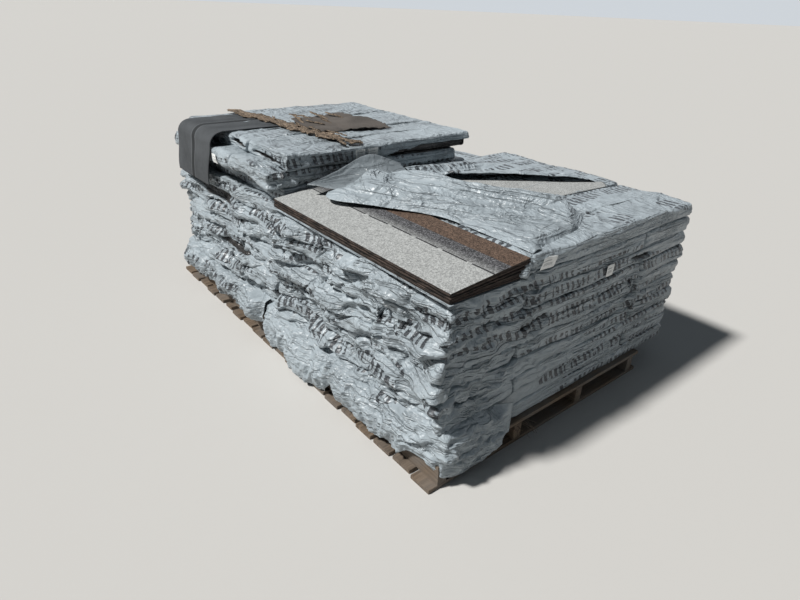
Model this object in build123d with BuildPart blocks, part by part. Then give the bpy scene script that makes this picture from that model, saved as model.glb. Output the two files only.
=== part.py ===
"""A pallet load of wrapped asphalt shingle bundles, in two blocks that stand against each other.

Lengths are in millimetres. Places are first counted from the load's left front corner at floor
level: x along the front, y away from the front, z up. place_x and place_y turn them into the
part's own frame, whose origin is the middle of the base.
"""
from build123d import *
from math import cos, sin
import os

# Wrapped bundle
BUNDLE_LENGTH = 1000.0
BUNDLE_WIDTH = 331.0
BUNDLE_HEIGHT = 62.0
BUNDLE_CORNER = 20.0
BUNDLE_EDGE = 9.0
BUNDLE_GAP = 3.5

# Blocks: how each layer is turned, from the bottom up. L has its cross bundle on the left,
# R on the right, and T has three bundles side by side with no cross bundle.
FRONT_PATTERN = "LRLRLRRLRL"
REAR_PATTERN = "RLRLRLRLRTTT"
BLOCK_GAP = 14.0
ROWS = 3
# How far each layer slid when it was laid, along x and y
FRONT_SLIDES = (
    (0, 0), (0, 1), (-12, 0), (-4, -2), (-14, 2),
    (-8, 0), (-3, -3), (-12, 2), (-6, 0), (-14, 0),
)
REAR_SLIDES = (
    (0, 0), (0, 3), (-5, 0), (-8, 2), (0, 0), (-3, 3),
    (-6, 0), (-1, 2), (-4, 0), (46, 2), (-24, 4), (58, 0),
)

# Pallet
BOARD_WIDTH = 89.0
BOARD_THICKNESS = 16.0
BOARD_COUNT = 20
BOARD_CHAMFER = 1.5
BOARD_UNEVEN = 9.0
NARROW_BOARD = 14
NARROW_WIDTH = 62.0
PALLET_LEFT = 56.0
PALLET_WIDTH = 1190.0
PALLET_FRONT = 20.0
PALLET_LENGTH = 2080.0
TOP_BOARD_INSET = 34.0
STRINGER_WIDTH = 38.0
STRINGER_HEIGHT = 63.0
STRINGER_COUNT = 4
STRINGER_INSET = 36.0

# Opened bundle: bare shingles on the lower half of their torn wrapper
SHINGLE_COUNT = 11
THIN_EDGE = 3.0
WRAPPER_THICKNESS = 1.0
WRAPPER_MARGIN = 6.0
SHINGLE_STAGGER = 3.0

# Loose film
FILM_SOLID = 4.0
FLAP_RADIUS = 95.0
FLAP_SWEEP = 125.0
FLAP_WIDTH = 330.0
FOLD_HEIGHT = 26.0
FOLD_WIDTH = 60.0
SKIRT_OUT = 47.0
SKIRT_THICKNESS = 20.0
SKIRT_RISE = 112.0
BAG_OUT = 42.0
BAG_WIDTH = 270.0
BAG_RISE = 165.0
FLOOR_CLEARANCE = 3.0
SEAT = 0.3
# Where the skirts start and end, counted from the front of their block
SKIRT_FRONT = (80, 540)
SKIRT_MIDDLE_START = 560
SKIRT_REAR = (166, 966)
SHEET_OUTLINE = (
    (345, 75), (470, 62), (830, 110), (1230, 225), (1250, 420),
    (1240, 880), (945, 975), (600, 970), (352, 900),
)
FLAP_BACK = 940.0
FLAP_FOOT = 415.0
FOLD_LEFT = 560.0
FOLD_LENGTH = 600.0
FOLD_Y = 935.0

# Loose shingles on the rear block, counted along y from its front
SHEET_THICKNESS = 3.5
DRAPED_WIDTH = 370.0
DRAPED_BACK = 886.0
DRAPED_TOP = 340.0
DRAPED_HANG = 230.0
DRAPED_BEND = 24.0
STRIP_REAR = ((258, 986), (305, 981), (352, 686), (372, 436), (330, 418), (300, 586))
STRIP_FRONT = ((318, 411), (372, 404), (398, 226), (440, 20), (392, 8), (345, 206))
TORN_SHEET = ((420, 246), (560, 224), (752, 276), (782, 486), (742, 662), (520, 688), (410, 546))

# Stick-on labels
LABEL_THICKNESS = 0.6
# Place along its side, width and height of each
LABEL_OPENED = (390, 66, 40)
LABEL_FRONT = (772, 42, 44)
LABEL_REAR_1 = (405, 46, 34)
LABEL_REAR_2 = (470, 50, 34)
LABEL_REAR_SIDE = (455, 44, 40)

# Worked out from the sizes above
CROSS_STEP = BUNDLE_WIDTH + BUNDLE_GAP
ROW_STEP = max(CROSS_STEP, (BUNDLE_LENGTH - BUNDLE_WIDTH) / (ROWS - 1))
BLOCK_DEPTH = (ROWS - 1) * ROW_STEP + BUNDLE_WIDTH
LOAD_WIDTH = BUNDLE_LENGTH + CROSS_STEP
DECK_TOP = 2 * BOARD_THICKNESS + STRINGER_HEIGHT
REAR_START = BLOCK_DEPTH + BLOCK_GAP
FRONT_TOP = DECK_TOP + len(FRONT_PATTERN) * BUNDLE_HEIGHT
REAR_TOP = DECK_TOP + len(REAR_PATTERN) * BUNDLE_HEIGHT
LEFT_END = -PALLET_LEFT
RIGHT_END = LOAD_WIDTH + max(slide[0] for slide in FRONT_SLIDES[:-1] + REAR_SLIDES[:9])
FRONT_END = -BAG_OUT
REAR_END = PALLET_LENGTH - PALLET_FRONT


def place_x(x):
    """The part's own x of a distance from the load's left side."""
    return x - (LEFT_END + RIGHT_END) / 2


def place_y(y):
    """The part's own y of a distance from the load's front."""
    return y - (FRONT_END + REAR_END) / 2


def save(solid, label):
    """Name one finished piece and write it."""
    solid.label = label
    export_step(solid, f"parts/{label}.step")


def layer_floor(number):
    """Height of the underside of a layer, counted from 1 at the bottom."""
    return DECK_TOP + (number - 1) * BUNDLE_HEIGHT


def bundle_places(turn, with_cross=True):
    """Centre and size of each bundle of one layer, from the layer's left front corner."""
    cross_left = turn == "L"
    first_x = CROSS_STEP if cross_left else 0
    places = []
    for row in range(ROWS):
        middle = (first_x + BUNDLE_LENGTH / 2, row * ROW_STEP + BUNDLE_WIDTH / 2)
        places.append((middle, (BUNDLE_LENGTH, BUNDLE_WIDTH)))
    if turn != "T" and with_cross:
        cross_x = 0 if cross_left else BUNDLE_LENGTH + BUNDLE_GAP
        middle = (cross_x + BUNDLE_WIDTH / 2, BUNDLE_LENGTH / 2)
        places.append((middle, (BUNDLE_WIDTH, BUNDLE_LENGTH)))
    return places


def bundle_layer(number, places, corner):
    """One layer of wrapped bundles, each a pressed block with rounded corners and edges."""
    with BuildPart() as layer:
        with BuildSketch(Plane.XY.offset(layer_floor(number))):
            for (x, y), (along_x, along_y) in places:
                with Locations((place_x(corner[0] + x), place_y(corner[1] + y))):
                    RectangleRounded(along_x, along_y, BUNDLE_CORNER)
        extrude(amount=BUNDLE_HEIGHT)
        rims = layer.edges().group_by(Axis.Z)
        fillet(rims[0] + rims[-1], BUNDLE_EDGE)
    return layer.part


def board_y(index):
    """Centre of a deck board, counted from the front."""
    step = (PALLET_LENGTH - BOARD_WIDTH) / (BOARD_COUNT - 1)
    return -PALLET_FRONT + BOARD_WIDTH / 2 + index * step


def deck(floor, left, right, narrow):
    """A row of deck boards across the stringers, with ends that are cut a little unevenly."""
    with BuildPart() as boards:
        with BuildSketch(Plane.XY.offset(floor)):
            for index in range(BOARD_COUNT):
                short = BOARD_UNEVEN * (1 - cos(index * 2.4)) / 2
                width = NARROW_WIDTH if index == narrow else BOARD_WIDTH
                length = right - left - short
                with Locations((place_x(left + short + length / 2), place_y(board_y(index)))):
                    Rectangle(length, width)
        extrude(amount=BOARD_THICKNESS)
        chamfer(boards.edges().filter_by(Axis.X), BOARD_CHAMFER)
    return boards.part


def stringer_x(index):
    """Centre of a stringer, counted from the left."""
    first = LEFT_END + STRINGER_INSET + STRINGER_WIDTH / 2
    last = LEFT_END + PALLET_WIDTH - STRINGER_INSET - STRINGER_WIDTH / 2
    return first + (last - first) * index / (STRINGER_COUNT - 1)


def shingle_height(x, number):
    """Underside of a bare shingle at x, because a shingle is thinner along its left edge."""
    thick_edge = (BUNDLE_HEIGHT - WRAPPER_THICKNESS) / SHINGLE_COUNT
    thickness = THIN_EDGE + (thick_edge - THIN_EDGE) * x / BUNDLE_WIDTH
    return layer_floor(len(FRONT_PATTERN)) + WRAPPER_THICKNESS + number * thickness


def bare_shingle(number):
    """How far one bare shingle of the opened bundle slid, along x and y."""
    slide_x = SHINGLE_STAGGER * sin(number * 1.9)
    slide_y = SHINGLE_STAGGER * sin(number * 2.7 + 1)
    return slide_x, slide_y


def bare_shingles(numbers):
    """Tapered shingles of the opened bundle, each a thin wedge as long as the bundle."""
    corner_x, corner_y = FRONT_SLIDES[-1]
    with BuildPart() as shingles:
        for number in numbers:
            slide_x, slide_y = bare_shingle(number)
            left = SHINGLE_STAGGER + slide_x
            right = BUNDLE_WIDTH - SHINGLE_STAGGER + slide_x
            back = place_y(corner_y + BUNDLE_LENGTH - SHINGLE_STAGGER + slide_y)
            corners = (
                (place_x(corner_x + left), shingle_height(left, number)),
                (place_x(corner_x + right), shingle_height(right, number)),
                (place_x(corner_x + right), shingle_height(right, number + 1)),
                (place_x(corner_x + left), shingle_height(left, number + 1)),
            )
            with BuildSketch(Plane.XZ.offset(-back)):
                with BuildLine():
                    Polyline(*corners, close=True)
                make_face()
            extrude(amount=BUNDLE_LENGTH - 2 * SHINGLE_STAGGER)
    return shingles.part


def skirt(front, back, slides):
    """Slack film of the lowest bundles, hanging over the ends of the top deck boards."""
    inner = place_x(min(slide[0] for slide in slides[:2]) - SEAT)
    outer = place_x(-SKIRT_OUT)
    bottom = BOARD_THICKNESS + FLOOR_CLEARANCE
    corners = (
        (inner, DECK_TOP + FLOOR_CLEARANCE),
        (outer + SKIRT_THICKNESS, DECK_TOP + FLOOR_CLEARANCE),
        (outer + SKIRT_THICKNESS, bottom),
        (outer, bottom),
        (outer, DECK_TOP),
        (inner, DECK_TOP + SKIRT_RISE),
    )
    with BuildPart() as film:
        with BuildSketch(Plane.XZ.offset(-place_y(back))):
            with BuildLine():
                Polyline(*corners, close=True)
            make_face()
        extrude(amount=back - front)
    return film.part


def placed(outline, start=0.0):
    """An outline counted from the front of a block, in the part's own frame."""
    return [(place_x(x), place_y(start + y)) for x, y in outline]


def loose_sheet(outline, floor):
    """A torn piece of shingle lying flat on the rear block."""
    with BuildPart() as sheet:
        with BuildSketch(Plane.XY.offset(floor)):
            with BuildLine():
                Polyline(*placed(outline, REAR_START), close=True)
            make_face()
        extrude(amount=SHEET_THICKNESS)
    return sheet.part


def sticker(start, slide, number, side, sizes):
    """A blank label on a bundle's side, half way up its layer. start is the front of its block."""
    along, width, height = sizes
    slide_x, slide_y = slide
    middle_z = layer_floor(number) + BUNDLE_HEIGHT / 2
    if side == "front":
        plane = Plane.XZ.offset(-place_y(start + slide_y))
        middle = (place_x(along), middle_z)
    else:
        plane = Plane.YZ.offset(place_x(slide_x))
        middle = (place_y(start + along), middle_z)
    with BuildPart() as label:
        with BuildSketch(plane):
            with Locations(middle):
                Rectangle(width, height)
        extrude(amount=LABEL_THICKNESS if side == "front" else -LABEL_THICKNESS)
    return label.part


os.makedirs("parts", exist_ok=True)

# Pallet
for index in range(STRINGER_COUNT):
    with BuildPart() as stringer:
        with BuildSketch(Plane.XY.offset(BOARD_THICKNESS)):
            middle_y = PALLET_LENGTH / 2 - PALLET_FRONT
            with Locations((place_x(stringer_x(index)), place_y(middle_y))):
                Rectangle(STRINGER_WIDTH, PALLET_LENGTH)
        extrude(amount=STRINGER_HEIGHT)
        chamfer(stringer.edges().filter_by(Axis.Y), BOARD_CHAMFER)
    save(stringer.part, f"stringer_{index + 1}")

pallet_right = LEFT_END + PALLET_WIDTH
save(deck(0, LEFT_END, pallet_right, NARROW_BOARD), "bottom_deck_boards")
top_floor = BOARD_THICKNESS + STRINGER_HEIGHT
save(deck(top_floor, LEFT_END + TOP_BOARD_INSET, pallet_right, None), "top_deck_boards")

# Wrapped bundles
for number, turn in enumerate(FRONT_PATTERN, 1):
    closed = number < len(FRONT_PATTERN)
    places = bundle_places(turn, with_cross=closed)
    corner = FRONT_SLIDES[number - 1]
    save(bundle_layer(number, places, corner), f"front_bundles_{number:02d}")

for number, turn in enumerate(REAR_PATTERN, 1):
    slide_x, slide_y = REAR_SLIDES[number - 1]
    corner = (slide_x, REAR_START + slide_y)
    save(bundle_layer(number, bundle_places(turn), corner), f"rear_bundles_{number:02d}")

# Opened bundle: the torn wrapper under it, then its shingles, alternate ones in one node
corner_x, corner_y = FRONT_SLIDES[-1]
with BuildPart() as wrapper:
    with BuildSketch(Plane.XY.offset(layer_floor(len(FRONT_PATTERN)))):
        middle_x = corner_x + (BUNDLE_WIDTH - WRAPPER_MARGIN) / 2
        with Locations((place_x(middle_x), place_y(corner_y + BUNDLE_LENGTH / 2))):
            Rectangle(BUNDLE_WIDTH + WRAPPER_MARGIN, BUNDLE_LENGTH + WRAPPER_MARGIN)
    extrude(amount=WRAPPER_THICKNESS)
save(wrapper.part, "torn_wrapper")
last = SHINGLE_COUNT - 1
save(bare_shingles([last]), "top_shingle")
save(bare_shingles(range(last - 1, -1, -2)), "bare_shingles_upper")
save(bare_shingles(range(last - 2, -1, -2)), "bare_shingles_lower")

# Film torn off the opened bundle, thrown back over the three bundles beside it
with BuildPart() as peeled_film:
    with BuildSketch(Plane.XY.offset(FRONT_TOP)):
        with BuildLine():
            Polyline(*placed(SHEET_OUTLINE), close=True)
        make_face()
    extrude(amount=FILM_SOLID)
save(peeled_film.part, "peeled_film")

flap_centre = (place_x(FLAP_FOOT), FRONT_TOP + FILM_SOLID + FLAP_RADIUS)
with BuildPart() as flap:
    with BuildSketch(Plane.XZ.offset(-place_y(FLAP_BACK))):
        with BuildLine():
            outer = CenterArc(flap_centre, FLAP_RADIUS, 270 - FLAP_SWEEP, FLAP_SWEEP)
            inner = CenterArc(flap_centre, FLAP_RADIUS - FILM_SOLID, 270 - FLAP_SWEEP, FLAP_SWEEP)
            Line(outer @ 0, inner @ 0)
            Line(outer @ 1, inner @ 1)
        make_face()
    extrude(amount=FLAP_WIDTH)
save(flap.part, "film_flap")

with BuildPart() as fold:
    with BuildSketch(Plane.YZ.offset(place_x(FOLD_LEFT))):
        with Locations((place_y(FOLD_Y), FRONT_TOP + FILM_SOLID)):
            Ellipse(FOLD_WIDTH / 2, FOLD_HEIGHT)
            below = (Align.CENTER, Align.MAX)
            Rectangle(2 * FOLD_WIDTH, 2 * FOLD_HEIGHT, align=below, mode=Mode.SUBTRACT)
    extrude(amount=FOLD_LENGTH)
save(fold.part, "film_fold")

# Slack film low on the left side and at the left front corner
rear_skirt = [REAR_START + y for y in SKIRT_REAR]
save(skirt(*SKIRT_FRONT, FRONT_SLIDES), "film_skirt_front")
save(skirt(SKIRT_MIDDLE_START, BLOCK_DEPTH, FRONT_SLIDES), "film_skirt_middle")
save(skirt(*rear_skirt, REAR_SLIDES), "film_skirt_rear")

bag_bottom = BOARD_THICKNESS + FLOOR_CLEARANCE
bag_inner = place_y(min(slide[1] for slide in FRONT_SLIDES[:3]) - SEAT)
bag_back = place_y(-PALLET_FRONT - FLOOR_CLEARANCE)
bag_front = place_y(FRONT_END)
with BuildPart() as bag:
    with BuildSketch(Plane.YZ.offset(place_x(0))):
        with BuildLine():
            Polyline(
                (bag_back, bag_bottom), (bag_front, bag_bottom + BUNDLE_EDGE), (bag_front, DECK_TOP),
                (bag_inner, DECK_TOP + BAG_RISE), (bag_inner, DECK_TOP + FLOOR_CLEARANCE),
                (bag_back, DECK_TOP + FLOOR_CLEARANCE), close=True,
            )
        make_face()
    extrude(amount=BAG_WIDTH)
save(bag.part, "film_bag")

# Loose shingles on top of the rear block
hang_x = place_x(min(slide[0] for slide in REAR_SLIDES[-3:]) - SHEET_THICKNESS / 2 - SEAT)
draped_z = REAR_TOP + SHEET_THICKNESS / 2
with BuildPart() as draped:
    with BuildSketch(Plane.XZ.offset(-place_y(REAR_START + DRAPED_BACK))):
        with BuildLine():
            run = FilletPolyline(
                (hang_x, draped_z - DRAPED_HANG), (hang_x, draped_z), (hang_x + DRAPED_TOP, draped_z),
                radius=DRAPED_BEND,
            )
            offset(run, amount=SHEET_THICKNESS / 2, side=Side.BOTH)
        make_face()
    extrude(amount=DRAPED_WIDTH)
save(draped.part, "draped_shingle")
save(loose_sheet(STRIP_REAR, REAR_TOP + SHEET_THICKNESS), "torn_strip_rear")
save(loose_sheet(STRIP_FRONT, REAR_TOP), "torn_strip_front")
save(loose_sheet(TORN_SHEET, REAR_TOP), "torn_sheet")

# Labels stuck on the film, in the top layers and two or one below them
front_top, rear_top = len(FRONT_PATTERN), len(REAR_PATTERN)
save(sticker(0, FRONT_SLIDES[-1], front_top, "front", LABEL_OPENED), "label_opened")
save(sticker(0, FRONT_SLIDES[-3], front_top - 2, "front", LABEL_FRONT), "label_front")
save(sticker(REAR_START, REAR_SLIDES[-1], rear_top, "front", LABEL_REAR_1), "label_rear_1")
save(sticker(REAR_START, REAR_SLIDES[-1], rear_top, "front", LABEL_REAR_2), "label_rear_2")
save(sticker(REAR_START, REAR_SLIDES[-2], rear_top - 1, "left", LABEL_REAR_SIDE), "label_rear_side")
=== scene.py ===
"""Dresses a pallet load of asphalt shingle bundles: crumpled grey film on every bundle, one bundle
torn open, slack film hanging low, loose shingles on top, blank labels and a weathered pallet."""

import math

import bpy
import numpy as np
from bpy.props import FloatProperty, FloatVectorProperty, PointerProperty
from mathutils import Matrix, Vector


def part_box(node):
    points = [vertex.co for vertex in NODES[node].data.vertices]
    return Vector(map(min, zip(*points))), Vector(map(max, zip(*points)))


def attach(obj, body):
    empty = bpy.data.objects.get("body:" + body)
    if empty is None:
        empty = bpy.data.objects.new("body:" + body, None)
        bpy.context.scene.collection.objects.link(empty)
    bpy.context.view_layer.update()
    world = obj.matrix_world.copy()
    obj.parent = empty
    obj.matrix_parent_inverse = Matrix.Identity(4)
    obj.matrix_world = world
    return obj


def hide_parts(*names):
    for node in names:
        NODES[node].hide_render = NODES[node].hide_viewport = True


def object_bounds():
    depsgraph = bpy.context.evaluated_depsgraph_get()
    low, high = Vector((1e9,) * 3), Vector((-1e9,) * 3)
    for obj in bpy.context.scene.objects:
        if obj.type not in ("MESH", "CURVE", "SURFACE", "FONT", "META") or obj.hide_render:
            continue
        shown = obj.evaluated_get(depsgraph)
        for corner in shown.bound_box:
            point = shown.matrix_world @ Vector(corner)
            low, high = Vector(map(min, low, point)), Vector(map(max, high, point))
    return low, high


bl_info = {
    "name": "Shingle Bundle Load",
    "version": (1, 0, 0),
    "blender": (4, 5, 0),
    "location": "3D View > Sidebar > Shingles",
    "description": "Film-wrapped roofing shingle bundles on a pallet",
    "category": "Object",
}

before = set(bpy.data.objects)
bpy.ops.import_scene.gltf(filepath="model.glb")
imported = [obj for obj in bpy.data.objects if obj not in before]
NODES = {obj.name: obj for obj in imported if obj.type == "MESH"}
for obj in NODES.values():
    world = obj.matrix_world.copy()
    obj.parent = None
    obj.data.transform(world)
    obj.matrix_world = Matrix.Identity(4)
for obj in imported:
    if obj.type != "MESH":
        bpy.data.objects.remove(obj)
CAD_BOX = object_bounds()

# Crossing pattern of the layers from the bottom up: L and R have a lengthwise bundle at the left or
# right beside three crosswise ones, and T has the three crosswise ones alone
FRONT_PATTERN = "LRLRLRRLRT"
REAR_PATTERN = "RLRLRLRLRTTT"
FRONT_LAYERS = len(FRONT_PATTERN)
REAR_LAYERS = len(REAR_PATTERN)

# The load's left front corner at floor level, which all places below are counted from
FIRST_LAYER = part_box("front_bundles_01")
CORNER = np.array([FIRST_LAYER[0][0], FIRST_LAYER[0][1], 0.0])
DECK_TOP = FIRST_LAYER[0][2]
FRONT_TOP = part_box(f"front_bundles_{FRONT_LAYERS:02d}")[1][2]
REAR_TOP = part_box(f"rear_bundles_{REAR_LAYERS:02d}")[1][2]
REAR_START = 1.007  # from the front to where the two blocks meet
GAP = 0.0035  # between neighbouring bundles of a layer
PROUD_LEFT, PROUD_FRONT = 0.035, 0.045  # how far slack film may stand past the frame's box
REST = 0.0025  # how far loose film lies over the bundles

# The film of a bundle: roundings, mesh spacings, and how far and how finely it is crumpled
CORNER_ROUNDING = 0.016
SEAM_ROUNDING = 0.010
HIDDEN_STEP, TOP_STEP = 0.045, 0.0075
BACK_PUFF, FRONT_PUFF = 0.009, 0.004
LUMP_SIZE, SMALL_SIZE, PINCH_SIZE, PULLED_SIZE, TOP_LUMP_SIZE = 0.105, 0.042, 0.075, 0.045, 0.17
GATHER_LEFT, GATHER_FRONT = 0.016, 0.013
PULLED_DEPTH, CORNER_CRUMPLE = 0.0056, 0.024
MOST_FRONT, MOST_LEFT = 0.022, 0.060
TEAR_DEPTH, PATCH_DEPTH = 0.022, 0.015
MOST_DROOP = 0.035
PRINT_TOP_START, PRINT_TOP_SCALE = 0.062, 0.56

# Colours that no setting holds
# The near-black of a torn opening is painted shade
TEAR_PAINTED_SHADE, TEAR_SHINGLES = (0.008, 0.008, 0.009), (0.05, 0.043, 0.037)
ASPHALT, SEALANT = (0.014, 0.013, 0.012), (0.02, 0.02, 0.022)
TORN_SHEET_BACK = (0.080, 0.070, 0.062)
PAPER, PAPER_STAINED, LABEL_BARS = (0.80, 0.81, 0.80), (0.68, 0.70, 0.69), (0.16, 0.17, 0.18)
SKY, SUN = (0.74, 0.87, 1.0, 1), (1.0, 0.985, 0.96)

# Openings torn in the film: the side, the start and end as distance along it and height, the half
# height, and the range across the side in which it lies
TEARS = (
    ("left", (1.93, 0.585), (1.36, 0.56), 0.020, -0.1, 0.03),
    ("left", (1.72, 0.335), (1.25, 0.345), 0.017, -0.1, 0.03),
    ("left", (1.50, 0.810), (1.36, 0.806), 0.016, -0.1, 0.12),
    ("left", (1.30, 0.800), (1.06, 0.800), 0.010, -0.1, 0.12),
    ("front", (0.56, 0.780), (1.34, 0.800), 0.019, 0.98, 1.06),
    ("front", (0.10, 0.205), (0.33, 0.215), 0.011, -0.1, 0.03),
    ("front", (0.30, 0.465), (0.45, 0.475), 0.009, -0.1, 0.03),
    ("front", (0.92, 0.560), (1.06, 0.555), 0.010, -0.1, 0.03),
)

# Where the film is gathered: distance along the side, height and reach of the folds
GATHERS = {
    "left": ((0.33, 0.225, 0.17), (0.30, 0.50, 0.16), (0.62, 0.40, 0.13), (0.90, 0.60, 0.15),
             (0.78, 0.22, 0.13), (1.22, 0.46, 0.15), (1.62, 0.44, 0.16), (1.50, 0.24, 0.14),
             (1.86, 0.30, 0.15), (1.30, 0.66, 0.13)),
    "front": ((0.32, 0.35, 0.16), (0.10, 0.26, 0.15), (0.14, 0.52, 0.14), (0.33, 0.58, 0.10),
              (1.00, 0.42, 0.11)),
}


# Noise and shapes


def hashed(cells, seed):
    """A number from 0 to 1 for each whole-number cell, by mixing the bits of its coordinates."""
    mixed = np.full(cells.shape[:-1], seed * 362437 + 1, dtype=np.uint64)
    for axis, prime in enumerate((73856093, 19349663, 83492791)):
        mixed = mixed ^ (cells[..., axis].astype(np.int64).astype(np.uint64) * np.uint64(prime))
        mixed = (mixed * np.uint64(2654435761)) & np.uint64(0xFFFFFFFF)
        mixed = mixed ^ (mixed >> np.uint64(15))
    return (mixed & np.uint64(0xFFFFFF)).astype(float) / 0xFFFFFF


def noise(points, seed):
    """Smooth noise from -1 to 1: hashed corner values of each cell, blended by a quintic curve."""
    base = np.floor(points)
    part = points - base
    ease = part ** 3 * (part * (part * 6 - 15) + 10)
    total = np.zeros(points.shape[:-1])
    for corner in range(8):
        offset = np.array([corner & 1, corner >> 1 & 1, corner >> 2 & 1], dtype=float)
        weight = np.prod(np.where(offset > 0, ease, 1 - ease), axis=-1)
        total += weight * hashed(base + offset, seed)
    return total * 2 - 1


def turned(angle, tilt):
    """A turn about z and then about x, so that the noise cells don't line up with the load."""
    sin_a, cos_a, sin_t, cos_t = math.sin(angle), math.cos(angle), math.sin(tilt), math.cos(tilt)
    about_z = np.array([[cos_a, -sin_a, 0], [sin_a, cos_a, 0], [0, 0, 1]])
    about_x = np.array([[1, 0, 0], [0, cos_t, -sin_t], [0, sin_t, cos_t]])
    return about_z @ about_x


TURNS = [turned(0.7 + 1.1 * k, 0.5 + 0.9 * k) for k in range(5)]


def creases(points, size, seed, octaves=4):
    """Crumpled film: sharp ridges where noise crosses zero. Each octave is smaller, turned another
    way and drawn out along one direction, so that the ridges run long and straight."""
    bend, drawn_out, finer, weaker = 0.24, 0.42, 0.56, 0.55
    shift = np.stack([noise(points / size + 7.7 * k, seed + 50 + k) for k in range(3)], axis=-1)
    bent = points + bend * size * shift
    total = np.zeros(points.shape[:-1])
    for k in range(octaves):
        drawn = (bent @ TURNS[k]) * (drawn_out, 1.0, 1.0)
        wave = noise(drawn / (size * finer ** k), seed + k)
        total += (0.5 - 1.5 * np.abs(wave) ** 0.8) * weaker ** k
    return total


def wander(points):
    """How far seams between layers lie off their height: the same smooth field for all layers, so
    that neighbours stay against each other. It fades out at the pallet and the tops."""
    long_waves, short_waves = (0.21, 0.21, 0.26), (0.08, 0.08, 0.12)
    everywhere, more_at_left, fade_height = 0.0055, 0.013, 0.07
    field = noise(points / long_waves, 201) + 0.5 * noise(points / short_waves, 202)
    near_left = np.exp(-np.clip(points[..., 0] - CORNER[0], 0, 1) / 0.09)
    top = np.where(points[..., 1] < CORNER[1] + REAR_START, FRONT_TOP, REAR_TOP)
    fade = smooth(DECK_TOP, DECK_TOP + fade_height, points[..., 2])
    fade = fade * smooth(top, top - fade_height, points[..., 2])
    return field * (everywhere + more_at_left * near_left) * fade


def gathers(points, side):
    """Folds that run toward the points where the film is gathered: ridged noise of the direction
    round each point, which grows with the distance from it and dies out beyond its reach."""
    flattened, folds, lengthwise = 1.3, 2.6, 0.8
    place = points - CORNER
    run = place[..., 1] if side == "left" else place[..., 0]
    total = np.zeros(points.shape[:-1])
    for index, (a, z, reach) in enumerate(GATHERS[side]):
        along_side, up = run - a, (place[..., 2] - z) * flattened
        distance = np.hypot(along_side, up) / reach
        angle = np.arctan2(up, along_side)
        spread = np.stack([np.cos(angle) * folds + index * 5, np.sin(angle) * folds,
                           distance * lengthwise], axis=-1)
        ridge = 0.45 - 1.7 * np.abs(noise(spread, 401)) ** 0.8
        total += (ridge * distance * np.exp(1 - distance ** 2 * 1.2)
                  - 0.8 * np.exp(-(distance / 0.16) ** 2))
    return total


def torn_open(points):
    """From 0 to 1 inside lens-shaped openings in the film, whose outlines wander a little."""
    place = points - CORNER
    total = np.zeros(points.shape[:-1])
    for side, (a0, z0), (a1, z1), half, low, high in TEARS:
        run, other = place[..., 1], place[..., 0]
        if side == "front":
            run, other = other, run
        t = (run - a0) / (a1 - a0)
        middle = z0 + (z1 - z0) * t + 0.006 * noise(points / 0.05, 301)
        width = half * np.sqrt(np.clip(4 * t * (1 - t), 0, 1))
        within = smooth(1.15, 0.85, np.abs(place[..., 2] - middle) / np.maximum(width, 1e-4))
        total += within * (t > 0) * (t < 1) * (other > low) * (other < high)
    return np.clip(total, 0, 1)


def patch_dent(points):
    """From 0 to 1 where the top film of the front block is torn away over the bare patch."""
    start, length, first_middle, slant, widest, ragged = 0.64, 0.63, 0.60, 0.245, 0.175, 0.012
    place = points - CORNER
    t = (place[..., 0] - start) / length
    middle = first_middle - slant * t
    ragged_edge = ragged * noise(points / (0.06, 0.06, 1.0), 311)
    half = widest * np.clip(1.02 - t, 0, 1) ** 0.75 + 0.006 + ragged_edge
    inside = smooth(1.06, 0.94, np.abs(place[..., 1] - middle) / half)
    return inside * (t > 0) * (t < 1) * (np.abs(place[..., 2] - FRONT_TOP) < 0.02)


def smooth(edge0, edge1, value):
    """0 below edge0, 1 above edge1 and an S curve between them."""
    t = np.clip((value - edge0) / (edge1 - edge0), 0, 1)
    return t * t * (3 - 2 * t)


def along(stops, t):
    """A smooth curve through a few places, spaced evenly in t from 0 to 1: Catmull-Rom blending."""
    stops = np.asarray(stops, dtype=float)
    padded = np.vstack([2 * stops[0] - stops[1], stops, 2 * stops[-1] - stops[-2]])
    place = np.clip(np.asarray(t, dtype=float), 0, 1) * (len(stops) - 1)
    start = np.minimum(place.astype(int), len(stops) - 2)
    f = (place - start)[..., None]
    a, b, c, d = (padded[start + k] for k in range(4))
    square, cube = 2 * a - 5 * b + 4 * c - d, 3 * b - a - 3 * c + d
    return 0.5 * (2 * b + (c - a) * f + square * f ** 2 + cube * f ** 3)


def grid_faces(rows, columns, closed=False):
    """Four-sided faces of a grid of vertices, joined end to end along its rows if closed."""
    around = columns if closed else columns - 1
    i, j = np.meshgrid(np.arange(rows - 1), np.arange(around), indexing="ij")
    low, high, following = i * columns, (i + 1) * columns, (j + 1) % columns
    quads = np.stack([low + j, low + following, high + following, high + j], axis=-1)
    return quads.reshape(-1, 4)


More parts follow.
